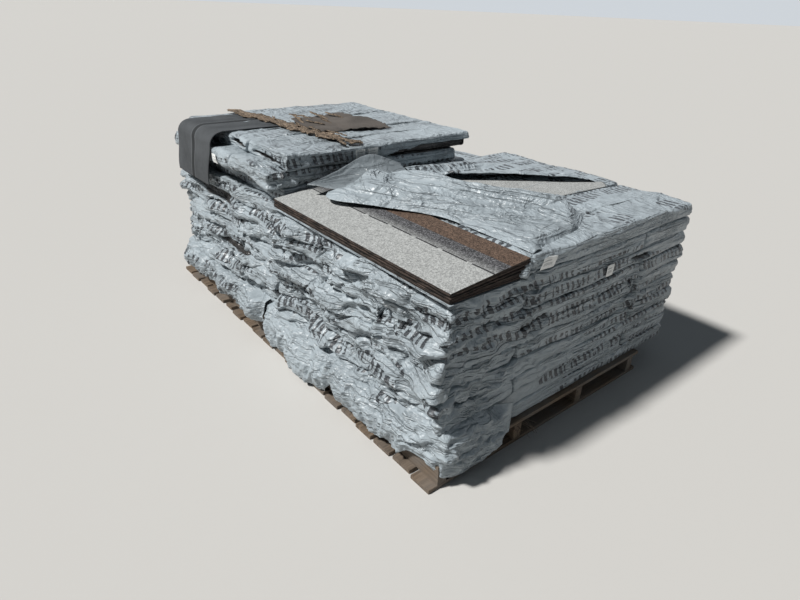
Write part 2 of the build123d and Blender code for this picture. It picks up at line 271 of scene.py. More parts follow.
def add_piece(name, verts, faces, material, nodes=(), uv=None, solid=0.0, tear=None):
    """A mesh piece that rides with the load and stands for CAD nodes. uv has one pair a vertex, and tear
    says from 0 to 1 how dark each vertex is where the film is torn open: the shingle strands and painted
    shade of the opening."""
    mesh = bpy.data.meshes.new(name)
    mesh.from_pydata(np.asarray(verts, dtype=float).reshape(-1, 3), [], [tuple(f) for f in faces])
    mesh.validate()
    if uv is not None:
        layer = mesh.uv_layers.new(name="wrap")
        corner = np.empty(len(mesh.loops), dtype=np.int32)
        mesh.loops.foreach_get("vertex_index", corner)
        layer.data.foreach_set("uv", np.asarray(uv, dtype=np.float32).reshape(-1, 2)[corner].ravel())
    if tear is not None:
        layer = mesh.attributes.new("tear", "FLOAT", "POINT")
        layer.data.foreach_set("value", np.asarray(tear, dtype=np.float32).ravel())
    mesh.polygons.foreach_set("use_smooth", np.ones(len(mesh.polygons), dtype=bool))
    mesh.materials.append(material)
    piece = bpy.data.objects.new(name, mesh)
    bpy.context.scene.collection.objects.link(piece)
    if solid:
        wall = piece.modifiers.new("Thickness", "SOLIDIFY")
        wall.thickness = solid
        wall.offset = 0.0
    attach(piece, "root")
    if nodes:
        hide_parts(*nodes)
    return piece


def repaint(node, material):
    """Gives a node of the frame, whose shape is right as it is, its finished material."""
    NODES[node].data.materials.clear()
    NODES[node].data.materials.append(material)


# Shader maths


class Wire:
    """A shader socket that can be added, multiplied and compared like a number."""

    def __init__(self, tree, socket):
        self.tree = tree
        self.socket = socket

    def maths(self, operation, *others):
        node = self.tree.nodes.new("ShaderNodeMath")
        node.operation = operation
        for index, value in enumerate((self, *others)):
            if isinstance(value, Wire):
                self.tree.links.new(value.socket, node.inputs[index])
            else:
                node.inputs[index].default_value = value
        return Wire(self.tree, node.outputs[0])

    def __add__(self, other):
        return self.maths("ADD", other)

    def __sub__(self, other):
        return self.maths("SUBTRACT", other)

    def __rsub__(self, other):
        return self.maths("MULTIPLY", -1).maths("ADD", other)

    def __mul__(self, other):
        return self.maths("MULTIPLY", other)

    def __truediv__(self, other):
        return self.maths("DIVIDE", other)

    def __gt__(self, other):
        return self.maths("GREATER_THAN", other)

    def __lt__(self, other):
        return self.maths("LESS_THAN", other)

    def __abs__(self):
        return self.maths("ABSOLUTE")

    def part(self):
        return self.maths("FRACT")

    def floor(self):
        return self.maths("FLOOR")

    __radd__ = __add__
    __rmul__ = __mul__


class Finish:
    """Builds one material on a Principled shader."""

    def __init__(self, name, roughness=0.6, specular=0.5):
        self.material = bpy.data.materials.new(name)
        self.material.use_nodes = True
        self.tree = self.material.node_tree
        self.shader = self.tree.nodes["Principled BSDF"]
        self.shader.inputs["Roughness"].default_value = roughness
        self.shader.inputs["Specular IOR Level"].default_value = specular

    def node(self, kind, settings=None, output=0, **sockets):
        """A node with its settings, then its sockets by name, or by number as i0, i1 and so on."""
        made = self.tree.nodes.new(kind)
        for key, value in (settings or {}).items():
            setattr(made, key, value)
        for key, value in sockets.items():
            numbered = key[0] == "i" and key[1:].isdigit()
            target = made.inputs[int(key[1:]) if numbered else key]
            if isinstance(value, Wire):
                self.tree.links.new(value.socket, target)
            else:
                target.default_value = value
        return Wire(self.tree, made.outputs[output])

    def place(self):
        """Where a point is on the object, in metres."""
        return self.node("ShaderNodeTexCoord", output="Object")

    def stretched(self, vector, x=1.0, y=1.0, z=1.0):
        """A place multiplied along each axis: a pattern on it is drawn out where the factor is small."""
        return self.node("ShaderNodeVectorMath", {"operation": "MULTIPLY"}, i0=vector, i1=(x, y, z))

    def axes(self, vector):
        return [self.node("ShaderNodeSeparateXYZ", output=k, i0=vector) for k in range(3)]

    def noise(self, vector, scale, detail=3.0, rough=0.55, distortion=0.0):
        return self.node("ShaderNodeTexNoise", Vector=vector, Scale=scale, Detail=detail,
                         Roughness=rough, Distortion=distortion)

    def cells(self, vector, scale, feature="F1", output="Distance", randomness=1.0):
        return self.node("ShaderNodeTexVoronoi", {"feature": feature}, output=output,
                         Vector=vector, Scale=scale, Randomness=randomness)

    def ramp(self, value, low, high, to_low=0.0, to_high=1.0):
        """The value carried from one range to another, and held at its ends."""
        return self.node("ShaderNodeMapRange", {"clamp": True}, i0=value, i1=low, i2=high,
                         i3=to_low, i4=to_high)

    def blend(self, factor, first, second):
        """Mixes two colours, each a colour wire or red, green and blue."""
        mixer = self.tree.nodes.new("ShaderNodeMix")
        mixer.data_type = "RGBA"
        for index, value in ((0, factor), (6, first), (7, second)):
            if isinstance(value, Wire):
                self.tree.links.new(value.socket, mixer.inputs[index])
            else:
                mixer.inputs[index].default_value = value if index == 0 else (*value, 1.0)
        return Wire(self.tree, mixer.outputs[2])

    def colour(self, wire):
        self.tree.links.new(wire.socket, self.shader.inputs["Base Color"])

    def rough(self, wire):
        self.tree.links.new(wire.socket, self.shader.inputs["Roughness"])

    def bump(self, height, depth, strength=1.0):
        bump = self.tree.nodes.new("ShaderNodeBump")
        bump.inputs["Strength"].default_value = strength
        bump.inputs["Distance"].default_value = depth
        self.tree.links.new(height.socket, bump.inputs["Height"])
        self.tree.links.new(bump.outputs["Normal"], self.shader.inputs["Normal"])


def shade(colour, factor):
    """A colour made lighter or darker by a factor."""
    return tuple(min(1.0, channel * factor) for channel in colour)


def film_finish(name, settings, printed=True, darker=1.0, wrinkled=1.0):
    """Grey film: cloudy tint, fine wrinkles, dust, level creases darkened with painted shade, rows of plain
    dark bars where it is printed, and where it is torn the inside of the bundle: shingle strands in painted
    shade."""
    finish = Finish(name, roughness=settings.gloss_roughness, specular=0.5)
    place = finish.place()
    # A darker factor below 1 paints shade into the whole film, as on the hood's inside
    tint = shade(settings.tint, darker)
    cloud = finish.noise(place, scale=3.1, detail=4.0)
    fine = finish.noise(finish.stretched(place, 1.0, 1.0, 2.2), scale=26.0, detail=6.0,
                        rough=0.62, distortion=0.9)
    crinkle = abs(finish.noise(finish.stretched(place, 1.0, 0.55, 1.5), scale=12.0, detail=4.0,
                               distortion=0.55) - 0.5)
    pull = abs(finish.noise(finish.stretched(place, 0.7, 1.0, 0.8), scale=6.5, detail=3.0,
                            distortion=0.35) - 0.5)
    level_crease = abs(finish.noise(finish.stretched(place, 0.30, 0.30, 5.5), scale=7.5, detail=2.5,
                                    distortion=0.3) - 0.5)
    base = finish.blend(finish.ramp(cloud, 0.35, 0.68), shade(tint, 0.88), shade(tint, 1.1))
    # Painted shade: the film is darkened along the level creases
    base = finish.blend(finish.ramp(level_crease, 0.022, 0.0) * 0.45, base, shade(tint, 0.45))
    base = finish.blend(finish.ramp(fine, 0.42, 0.62) * 0.22, base, shade(tint, 0.72))
    if printed:
        uv = finish.node("ShaderNodeUVMap", {"uv_map": "wrap"})
        u, v = finish.axes(uv)[:2]
        row = v / settings.row_pitch
        row_place = abs(row.part() - 0.5)
        in_row = row_place < settings.row_height / settings.row_pitch / 2
        lean, bars_a_word, word_gap = 0.28, 8.0, 0.14
        bar = (u + v * lean) / settings.bar_pitch
        wide = finish.node("ShaderNodeTexWhiteNoise", {"noise_dimensions": "2D"},
                           Vector=finish.node("ShaderNodeCombineXYZ", i0=bar.floor(), i1=row.floor()))
        in_bar = bar.part() < (wide * 0.32 + 0.40)
        word = (u / (settings.bar_pitch * bars_a_word) + row.floor() * 0.37).part() > word_gap
        bare = finish.noise(finish.stretched(place, 0.5, 1.0, 3.0), scale=2.6, detail=1.0) > 0.48
        worn = finish.ramp(finish.noise(place, scale=55.0, detail=2.0), 0.34, 0.46)
        # The print on the rear block's top has bleached
        faded = finish.ramp(finish.axes(place)[2], REAR_TOP - 0.020, REAR_TOP - 0.010, 1.0, 0.55)
        ink = in_row * in_bar * word * worn * bare * faded
        base = finish.blend(ink * 0.93, base, tuple(settings.ink))
        tear = finish.node("ShaderNodeAttribute", {"attribute_name": "tear"}, output=2)
        strands = finish.noise(finish.stretched(place, 1.0, 1.0, 90.0), scale=5.0, detail=2.0)
        # Inside a torn opening: strands of shingle colour over near-black painted shade
        inside = finish.blend(finish.ramp(strands, 0.4, 0.7), TEAR_PAINTED_SHADE, TEAR_SHINGLES)
        base = finish.blend(finish.ramp(tear, 0.35, 0.6), base, inside)
    finish.colour(base)
    glossy, dull = settings.gloss_roughness - 0.07, settings.gloss_roughness + 0.12
    finish.rough(finish.ramp(cloud, 0.3, 0.7, glossy, dull))
    slack = finish.ramp(finish.noise(place, scale=2.3, detail=2.0), 0.36, 0.62, 0.35, 1.25)
    height = (fine * 0.25 - finish.ramp(crinkle, 0.0, 0.10) * 0.8 - finish.ramp(pull, 0.0, 0.16) * 1.3
              + finish.ramp(level_crease, 0.0, 0.05) * 0.7)
    finish.bump(height * slack, depth=settings.wrinkle_depth * wrinkled)
    return finish.material


def granule_finish(name, colour_low, colour_high, scale=420.0):
    """Mineral granules: each cell has its own shade between two colours and stands a little proud."""
    finish = Finish(name, roughness=0.9, specular=0.25)
    place = finish.place()
    grain = finish.cells(place, scale, output="Color")
    value = finish.axes(grain)[0]
    patch = finish.noise(place, scale=9.0, detail=3.0)
    mix = finish.ramp(value * 0.75 + patch * 0.5, 0.3, 0.85)
    finish.colour(finish.blend(mix, colour_low, colour_high))
    finish.bump(finish.cells(place, scale), depth=0.0012)
    return finish.material


def layered_edge(finish, place, settings):
    """Colour of stacked cut edges: thin layers of black asphalt and brown mat."""
    layer = finish.noise(finish.stretched(place, 9.0, 9.0, 260.0), scale=3.0, detail=2.0)
    return finish.blend(finish.ramp(layer, 0.42, 0.66), ASPHALT, tuple(settings.cut_edge))


def edge_finish(name, settings):
    """The shingles under the top one, of which only the cut edges show."""
    finish = Finish(name, roughness=0.9, specular=0.2)
    place = finish.place()
    finish.colour(layered_edge(finish, place, settings))
    finish.bump(finish.noise(place, scale=300.0, detail=2.0), depth=0.0015)
    return finish.material


def banded_finish(name, settings, left, width):
    """The opened bundle's top shingle: bands of pale, dark and brown granules, and cut edges."""
    finish = Finish(name, roughness=0.9, specular=0.25)
    place = finish.place()
    x, y = finish.axes(place)[:2]
    unevenness = finish.noise(place, scale=9.0, detail=2.0) * 0.008 - 0.004
    across = (x + unevenness - left) / width
    grain = finish.axes(finish.cells(place, scale=330.0, output="Color"))[0]
    fleck = finish.axes(finish.cells(place, scale=150.0, output="Color"))[1]
    speck = finish.ramp(grain * 0.8 + fleck * 0.35, 0.25, 0.95)
    pale = finish.blend(speck, shade(settings.pale_granules, 0.62),
                        shade(settings.pale_granules, 1.25))
    dark = finish.blend(finish.ramp(speck, 0.35, 0.95), shade(settings.dark_granules, 0.6),
                        shade(settings.dark_granules, 3.3))
    brown = finish.blend(speck, shade(settings.brown_granules, 0.4),
                         shade(settings.brown_granules, 1.5))
    # Where the dark and brown bands start, and the broken line of sealant between pale and dark
    dark_start, brown_start, strip_middle, strip_half, dash_pitch = 0.52, 0.745, 0.518, 0.0095, 0.128
    in_dark = finish.ramp(across, dark_start, 0.53) * finish.ramp(across, 0.50, 0.64, 0.35, 1.0)
    surface = finish.blend(in_dark, pale, dark)
    surface = finish.blend(across > brown_start, surface, brown)
    in_strip = (abs(across - strip_middle) < strip_half) * ((y / dash_pitch).part() < 0.84)
    surface = finish.blend(in_strip, surface, SEALANT)
    edge = layered_edge(finish, place, settings)
    normal = finish.node("ShaderNodeNewGeometry", output="Normal")
    upward = finish.axes(normal)[2]
    finish.colour(finish.blend(finish.ramp(upward, 0.5, 0.75), edge, surface))
    finish.bump(finish.cells(place, scale=330.0), depth=0.0013)
    return finish.material


def back_finish(name, settings, tape_axis=None, tape_at=0.0, tone=None):
    """The back of a shingle: dusty dark asphalt, with the release tape that runs along it."""
    finish = Finish(name, roughness=0.82, specular=0.2)
    place = finish.place()
    dust = finish.noise(place, scale=7.0, detail=6.0)
    sand = finish.noise(place, scale=420.0, detail=2.0)
    tone = tone or tuple(settings.back)
    colour = finish.blend(finish.ramp(dust, 0.35, 0.7), shade(tone, 0.7), shade(tone, 1.45))
    colour = finish.blend(finish.ramp(sand, 0.45, 0.75) * 0.5, colour, shade(tone, 2.1))
    if tape_axis is not None:
        off_tape = abs(finish.axes(place)[tape_axis] - tape_at)
        tape = off_tape < 0.022
        edge = tape * (off_tape > 0.0175)
        colour = finish.blend(tape * 0.85, colour, shade(tone, 0.3))
        colour = finish.blend(edge * 0.7, colour, shade(tone, 3.2))
    finish.colour(colour)
    finish.bump(sand * 0.5 + dust, depth=0.0016)
    return finish.material


def torn_finish(name, settings):
    """Torn shingle: brown asphalt-soaked mat with pale broken granules and dark tears along it."""
    finish = Finish(name, roughness=0.9, specular=0.2)
    place = finish.place()
    streak = finish.noise(finish.stretched(place, 9.0, 1.4, 9.0), scale=9.0, detail=6.0, rough=0.7)
    grain = finish.axes(finish.cells(place, scale=260.0, output="Color"))[0]
    brown = tuple(settings.torn)
    colour = finish.blend(finish.ramp(streak, 0.38, 0.66), shade(brown, 0.28), shade(brown, 1.35))
    colour = finish.blend((grain > 0.8) * 0.75, colour, shade(brown, 2.1))
    finish.colour(colour)
    finish.bump(streak + grain * 0.3, depth=0.004)
    return finish.material


def wood_finish(name, settings, axis):
    """Weathered sawn softwood: grain stretched along the board, grey-brown patches and dark knots."""
    finish = Finish(name, roughness=0.82, specular=0.25)
    place = finish.place()
    across_grain, along_grain = 38.0, 2.4
    squeeze = [across_grain] * 3
    squeeze[axis] = along_grain
    grain = finish.noise(finish.stretched(place, *squeeze), scale=2.2, detail=7.0,
                         rough=0.68, distortion=0.6)
    board = finish.noise(place, scale=5.5, detail=2.0)
    knot = finish.cells(place, scale=4.2)
    wood = tuple(settings.wood)
    grey = tuple(settings.weathered)
    colour = finish.blend(finish.ramp(grain, 0.36, 0.66), shade(wood, 0.42), shade(wood, 1.25))
    colour = finish.blend(finish.ramp(board, 0.42, 0.62) * 0.75, colour, grey)
    colour = finish.blend(finish.ramp(knot, 0.10, 0.05), colour, shade(wood, 0.2))
    finish.colour(colour)
    finish.bump(grain, depth=0.0025)
    return finish.material


# Sizes and colours that a user would change


class WrapSettings(bpy.types.PropertyGroup):
    tint: FloatVectorProperty(name="Film colour", description="Colour of the film", size=3,
                              subtype="COLOR", default=(0.325, 0.372, 0.402), min=0, max=1)
    ink: FloatVectorProperty(name="Bar colour", description="Colour of the printed bars", size=3,
                             subtype="COLOR", default=(0.025, 0.027, 0.032), min=0, max=1)
    gloss_roughness: FloatProperty(name="Roughness", description="Roughness of the film",
                                   default=0.36, min=0, max=1)
    wrinkle_depth: FloatProperty(name="Wrinkle depth", description="Depth of the finest wrinkles",
                                 default=0.0075, unit="LENGTH")
    row_pitch: FloatProperty(name="Row pitch", description="Distance between rows of bars",
                             default=0.062, unit="LENGTH")
    row_height: FloatProperty(name="Bar height", description="Height of the printed bars",
                              default=0.034, unit="LENGTH")
    bar_pitch: FloatProperty(name="Bar pitch", description="Distance between printed bars",
                             default=0.030, unit="LENGTH")
    left_puff: FloatProperty(name="Left puff", description="How far slack film stands out at left",
                             default=0.040, unit="LENGTH")
    left_crumple: FloatProperty(name="Left crumple", description="Depth of the creases on the left side",
                                default=0.019, unit="LENGTH")
    side_crumple: FloatProperty(name="Side crumple", description="Depth of the creases at right and rear",
                                default=0.0045, unit="LENGTH")
    top_crumple: FloatProperty(name="Top crumple", description="Depth of the creases on the top",
                               default=0.0075, unit="LENGTH")
    near_step: FloatProperty(name="Near step", description="Mesh spacing on the left and front",
                             default=0.0058, unit="LENGTH")
    far_step: FloatProperty(name="Far step", description="Mesh spacing on the right and rear",
                            default=0.0085, unit="LENGTH")
    sheet_thickness: FloatProperty(name="Film thickness", description="Thickness of loose film",
                                   default=0.0008, unit="LENGTH")


class ShingleSettings(bpy.types.PropertyGroup):
    pale_granules: FloatVectorProperty(name="Pale granules", description="Colour of the pale band",
                                       size=3, subtype="COLOR", default=(0.40, 0.41, 0.405), min=0, max=1)
    dark_granules: FloatVectorProperty(name="Dark granules", description="Colour of the dark band",
                                       size=3, subtype="COLOR", default=(0.055, 0.055, 0.058), min=0, max=1)
    brown_granules: FloatVectorProperty(name="Brown granules", description="Colour of the brown band",
                                        size=3, subtype="COLOR", default=(0.108, 0.073, 0.054), min=0, max=1)
    cut_edge: FloatVectorProperty(name="Cut edge", description="Colour of the cut edges", size=3,
                                  subtype="COLOR", default=(0.10, 0.074, 0.062), min=0, max=1)
    back: FloatVectorProperty(name="Back", description="Colour of a shingle's back", size=3,
                              subtype="COLOR", default=(0.053, 0.057, 0.061), min=0, max=1)
    torn: FloatVectorProperty(name="Torn mat", description="Colour of torn shingle", size=3,
                              subtype="COLOR", default=(0.185, 0.142, 0.105), min=0, max=1)


class PalletSettings(bpy.types.PropertyGroup):
    wood: FloatVectorProperty(name="Wood", description="Colour of the wood", size=3, subtype="COLOR",
                              default=(0.175, 0.13, 0.092), min=0, max=1)
    weathered: FloatVectorProperty(name="Weathered wood", description="Colour of weathered wood", size=3,
                                   subtype="COLOR", default=(0.15, 0.135, 0.12), min=0, max=1)


class StageSettings(bpy.types.PropertyGroup):
    floor: FloatVectorProperty(name="Floor", description="Colour of the floor", size=3, subtype="COLOR",
                               default=(0.55, 0.54, 0.52), min=0, max=1)
    background: FloatVectorProperty(name="Background", description="Colour behind the floor", size=3,
                                    subtype="COLOR", default=(0.62, 0.66, 0.70), min=0, max=1)
    fill: FloatProperty(name="Fill", description="Strength of the even light", default=0.10, min=0)
    key: FloatProperty(name="Key", description="Strength of the key light", default=4.5, min=0)


# Wrapped bundles


def perimeter(half_x, half_y, radius, steps):
    """Points and outward directions round a rounded rectangle, from its left front corner along
    the front, right, rear and left sides. steps gives the spacing on each side."""
    corners = np.array([(-half_x, -half_y), (half_x, -half_y), (half_x, half_y), (-half_x, half_y)])
    parts = []
    for side in range(4):
        start, end = corners[side], corners[(side + 1) % 4]
        length = np.linalg.norm(end - start)
        count = max(4, int(round(length / steps[side])))
        t = np.linspace(0, 1, count, endpoint=False)
        parts.append(start + (end - start) * t[:, None])
    points = np.vstack(parts)
    core = np.clip(points, (-half_x + radius, -half_y + radius), (half_x - radius, half_y - radius))
    out = points - core
    out /= np.maximum(np.linalg.norm(out, axis=1, keepdims=True), 1e-9)
    points = core + out * radius
    gaps = np.linalg.norm(np.roll(points, -1, axis=0) - points, axis=1)
    return points, out, np.concatenate([[0], np.cumsum(gaps)[:-1]])


def wall_profile(height, edge):
    """Inset and height of each row of a bundle's wall, from under it, round its side, to its top."""
    turn = np.radians((-90, -60, -30, 0))
    low = [(edge * (1 - math.cos(a)), edge * (1 + math.sin(a))) for a in turn]
    side = [(0.0, z) for z in np.linspace(edge, height - edge, 8)[1:-1]]
    high = [(inset, height - z) for inset, z in reversed(low)]
    return [(0.034, 0.0), (0.018, 0.0)] + low + side + high + [(0.018, height)]


def wrapped_bundle(low, high, bare, settings, seed, top_open, sag, calm):
    """One bundle in film: its rounded outline carried up the wall's insets and heights. On the sides
    of bare that show (front, right, rear, left) each point is pushed outward by a belly times its
    slack, creases and gathers, pushed in where the film is torn, and lowered by its droop. The seams
    and the top have noise of their own. Returns vertices, faces, wrap coordinates and, from 0 to 1,
    where each vertex is torn."""
    centre = (low[:2] + high[:2]) / 2
    half = (high[:2] - low[:2]) / 2
    height = high[2] - low[2]
    near, far = settings.near_step, settings.far_step
    steps = [step if shows else HIDDEN_STEP for step, shows in zip((near, far, far, near), bare)]
    if top_open:
        steps = [min(step, TOP_STEP) for step in steps]
    points, out, run = perimeter(half[0], half[1], CORNER_ROUNDING, steps)
    rows = wall_profile(height, SEAM_ROUNDING)
    if top_open:
        rows += [(inset, height) for inset in np.arange(0.026, min(half) - 0.004, TOP_STEP)]
    else:
        rows += [(0.034, height)]
    inset = np.array([row[0] for row in rows])[:, None]
    level = np.array([row[1] for row in rows])[:, None]
    scale_x = (half[0] - inset) / half[0]
    scale_y = (half[1] - inset) / half[1]
    x = centre[0] + points[:, 0] * scale_x
    y = centre[1] + points[:, 1] * scale_y
    z = low[2] + level + 0 * x
    pos = np.stack([x, y, z], axis=-1)
    # How much each side shows, from the direction it faces
    left = np.clip(-out[:, 0], 0, 1) * bare[3] * calm
    right = np.clip(out[:, 0], 0, 1) * bare[1]
    front = np.clip(-out[:, 1], 0, 1) * bare[0]
    rear = np.clip(out[:, 1], 0, 1) * bare[2]
    # Belly of the film: fullest below the middle of the wall, none at the top and bottom seams
    h = np.clip(level / height, 0, 1)
    wall = smooth(0.024, 0.0, inset)
    belly = np.sin(np.pi * h ** 0.8) ** 0.75 * wall
    base = pos + seed * np.array([3.1, 1.7, 0.0])
    slack = 0.6 + 1.1 * noise(np.stack([run / 0.19 + seed * 9.1, run * 0 + seed, run * 0], axis=-1), 5)
    slack = np.clip(slack, 0.1, 1.35)[None, :]
    push = belly * (left * settings.left_puff * slack + (right + rear) * BACK_PUFF * slack
                    + front * FRONT_PUFF)
    lump = creases(base * (1.0, 0.6, 1.4), LUMP_SIZE, 11)
    small = creases(base * (1.0, 0.7, 1.3), SMALL_SIZE, 23, 3)
    pinch = np.abs(noise((base * (1.0, 0.8, 1.5)) @ TURNS[2] / PINCH_SIZE, 37))
    push = push + wall * left * settings.left_crumple * (lump * smooth(0.0, 0.3, h) + 0.28 * small)
    push = push - wall * left * settings.left_crumple * 0.9 * smooth(0.14, 0.0, pinch)
    push = push + wall * (left * gathers(pos, "left") * GATHER_LEFT
                          + front * gathers(pos, "front") * GATHER_FRONT)
    push = push + wall * (right + rear) * settings.side_crumple * (1.4 * lump + 0.7 * small)
    # Straight pulled creases on the long smooth sides, crumpled near the bundle's ends
    pulled = creases(base * (0.16, 0.16, 2.0), PULLED_SIZE, 31)
    near_left = np.exp(-np.abs(pos[..., 0] - CORNER[0]) / 0.15)
    push = push + wall * front * (PULLED_DEPTH * pulled
                                  + near_left * CORNER_CRUMPLE * (lump + 0.25 * small))
    push = np.minimum(push, np.where(front > left, MOST_FRONT, MOST_LEFT))
    hole = torn_open(pos)
    pos[..., :2] += (push * (1 - hole) - TEAR_DEPTH * hole)[..., None] * out[None]
    droop = belly * left * sag * slack + belly * front * near_left * 0.012
    pos[..., 2] -= droop * (0.6 + 0.4 * noise(base / 0.05, 41))
    pos[..., 2] += wander(pos)
    # Crumpled top, sunk where it is torn away
    on_top = smooth(height * 0.8, height, level) * (1 if top_open else 0.25)
    top_lump = creases(pos * (0.7, 1.1, 0.0) + seed, TOP_LUMP_SIZE, 61)
    pos[..., 2] += on_top * settings.top_crumple * (top_lump + 0.1)
    pos[..., 2] -= on_top * PATCH_DEPTH * patch_dent(pos)
    pos[..., 2] = np.maximum(pos[..., 2], low[2] - MOST_DROOP)
    count = points.shape[0]
    faces = [tuple(f) for f in grid_faces(len(rows), count, closed=True)]
    faces.append(tuple(range(count))[::-1])
    last = (len(rows) - 1) * count
    faces.append(tuple(range(last, last + count)))
    # Wrap coordinates: along the perimeter and up the wall, then across the top
    u = np.where(inset > 0.02, x if half[0] > half[1] else y, run[None, :] + 0 * x)
    across = (y - low[1]) if half[0] > half[1] else (x - low[0])
    v = np.where((inset > 0.02) & (h > 0.5), PRINT_TOP_START + across * PRINT_TOP_SCALE, level + 0 * x)
    shift = (0.0, 0.018, -0.014, 0.031)[int(seed * 10) % 4] * (inset <= 0.02)
    uv = np.stack([u + seed * 0.13, v + shift], axis=-1)
    return pos.reshape(-1, 3), faces, uv.reshape(-1, 2), hole.ravel()


def bundle_corners(node, turn):
    """Low and high corners of each bundle of a layer, from the node's box and its crossing pattern,
    with its row from the front and whether it lies lengthwise."""
    low, high = (np.array(corner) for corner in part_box(node))
    depth = high[1] - low[1]
    width = (depth - 2 * GAP) / 3
    left = low[0] + (width + GAP if turn == "L" else 0)
    right = high[0] - (width + GAP if turn == "R" else 0)
    found = []
    for row in range(3):
        y = low[1] + row * (width + GAP)
        found.append(((left, y, low[2]), (right, y + width, high[2]), row, False))
    if turn == "L":
        found.append((tuple(low), (low[0] + width, high[1], high[2]), 1, True))
    if turn == "R":
        found.append(((high[0] - width, low[1], low[2]), tuple(high), 1, True))
    return [(np.array(a), np.array(b), row, lengthwise) for a, b, row, lengthwise in found]


def wrap_layer(node, turn, front_shows, rear_shows, top_open, settings, material, seed, sag,
               calm=1.0):
    """All bundles of one layer as one piece, each a closed film surface."""
    verts, faces, uvs, holes, start = [], [], [], [], 0
    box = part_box(node)
    for index, (low, high, row, lengthwise) in enumerate(bundle_corners(node, turn)):
        at_left = low[0] < box[0][0] + 0.001
        at_right = high[0] > box[1][0] - 0.001
        show_front = front_shows and (row == 0 or lengthwise)
        show_rear = rear_shows and (row == 2 or lengthwise)
        bare = (float(show_front), float(at_right), float(show_rear), float(at_left))
        points, quads, uv, hole = wrapped_bundle(low, high, bare, settings, seed + 0.37 * index,
                                                 top_open, sag, calm)
        holes.append(hole)
        verts.append(points)
        uvs.append(uv)
        faces += [tuple(np.asarray(face) + start) for face in quads]
        start += len(points)
    add_piece(f"wrapped_{node}", np.vstack(verts), faces, material, [node],
              np.vstack(uvs), tear=np.concatenate(holes))


class SHINGLES_OT_wrap_bundles(bpy.types.Operator):
    """Wrap every closed bundle in crumpled film"""
    bl_idname = "shingles.wrap_bundles"
    bl_label = "Wrap Bundles"

    def execute(self, context):
        settings = context.scene.shingle_wrap
        material = film_finish("printed_film", settings)
        for number, turn in enumerate(FRONT_PATTERN, 1):
            sag = 0.020 if number > 3 else 0.026
            wrap_layer(f"front_bundles_{number:02d}", turn, True, False, number == FRONT_LAYERS,
                       settings, material, number * 1.3, sag)
        for number, turn in enumerate(REAR_PATTERN, 1):
            calm = 0.35 if number >= FRONT_LAYERS else 0.8
            wrap_layer(f"rear_bundles_{number:02d}", turn, number > FRONT_LAYERS, True,
                       number == REAR_LAYERS, settings, material, 40 + number * 1.7, 0.018, calm)
        return {"FINISHED"}


# Opened bundle


class SHINGLES_OT_bare_shingles(bpy.types.Operator):
    """Finish the bare shingles of the opened bundle"""
    bl_idname = "shingles.bare_shingles"
    bl_label = "Bare Shingles"

    def execute(self, context):
        settings = context.scene.shingle_sheets
        low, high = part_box("top_shingle")
        material = banded_finish("banded_granules", settings, low[0], high[0] - low[0])
        edges = edge_finish("cut_edges", settings)
        repaint("top_shingle", material)
        repaint("bare_shingles_upper", edges)
        repaint("bare_shingles_lower", edges)
        repaint("torn_wrapper", film_finish("plain_film", context.scene.shingle_wrap, printed=False))
        return {"FINISHED"}


# Peeled film


def film_sheet(name, surface, rows, columns, material, settings, nodes=()):
    """A loose sheet of film from a function of two parameters from 0 to 1, given a thickness."""
    u, v = np.meshgrid(np.linspace(0, 1, columns), np.linspace(0, 1, rows))
    pos, uv = surface(u, v)
    add_piece(name, pos, grid_faces(rows, columns), material, nodes, uv,
              settings.sheet_thickness)


def shingle_sheet(name, surface, rows, columns, material, thickness, nodes=()):
    """A sheet of shingle or torn mat from a function of two parameters from 0 to 1, given a
    thickness."""
    u, v = np.meshgrid(np.linspace(0, 1, columns), np.linspace(0, 1, rows))
    add_piece(name, surface(u, v), grid_faces(rows, columns), material, nodes, solid=thickness)


def from_corner(x, y, z):
    """A place counted from the load's left front corner, in the part's own frame."""
    return np.stack([CORNER[0] + x, CORNER[1] + y, z + 0 * x], axis=-1)


def thrown_film(u, v):
    """Film thrown back over the bundles beside the opened one: a patch ruled from its left edge to
    the place where it goes over into their own film. Its height is long folds drawn out across it,
    plus a swell and a crest that are bell curves, and it sinks into the bundles at its other three
    borders."""
    left = along([(0.338, 0.015), (0.336, 0.22), (0.325, 0.42), (0.215, 0.62), (0.11, 0.80),
                  (0.24, 0.94)], v)
    right = along([(0.62, 0.05), (0.84, 0.18), (0.74, 0.42), (0.74, 0.72), (0.80, 0.97)], v)
    xy = left * (1 - u[..., None]) + right * u[..., None]
    flat = from_corner(xy[..., 0], xy[..., 1], np.zeros_like(u))
    fold = creases(flat @ turned(0.62, 0.0) * (1.5, 0.45, 1.0), 0.17, 81)
    swell = np.exp(-((u - 0.10 - 0.25 * v) / 0.13) ** 2) * 0.034 * smooth(0.12, 0.55, v)
    crest = np.exp(-((u - 0.80 + 0.22 * v) / 0.10) ** 2) * 0.040
    crest = crest * smooth(0.0, 0.35, v) * smooth(1.0, 0.7, v)
    height = 0.012 + 0.017 * (fold + 0.35) + swell + crest
    height = np.maximum(height, 0.004) * smooth(-0.03, 0.10, u) * smooth(-0.05, 0.06, v)
    sunk = smooth(0.78, 1.0, u) + smooth(0.90, 1.0, v) + smooth(0.07, 0.0, v) * smooth(0.05, 0.3, u)
    sunk = np.clip(sunk, 0, 1)
    flat[..., 2] = FRONT_TOP + REST + height * (1 - sunk) - 0.014 * sunk ** 2
    return flat, np.stack([xy[..., 0], xy[..., 1] * PRINT_TOP_SCALE + 0.03], axis=-1)


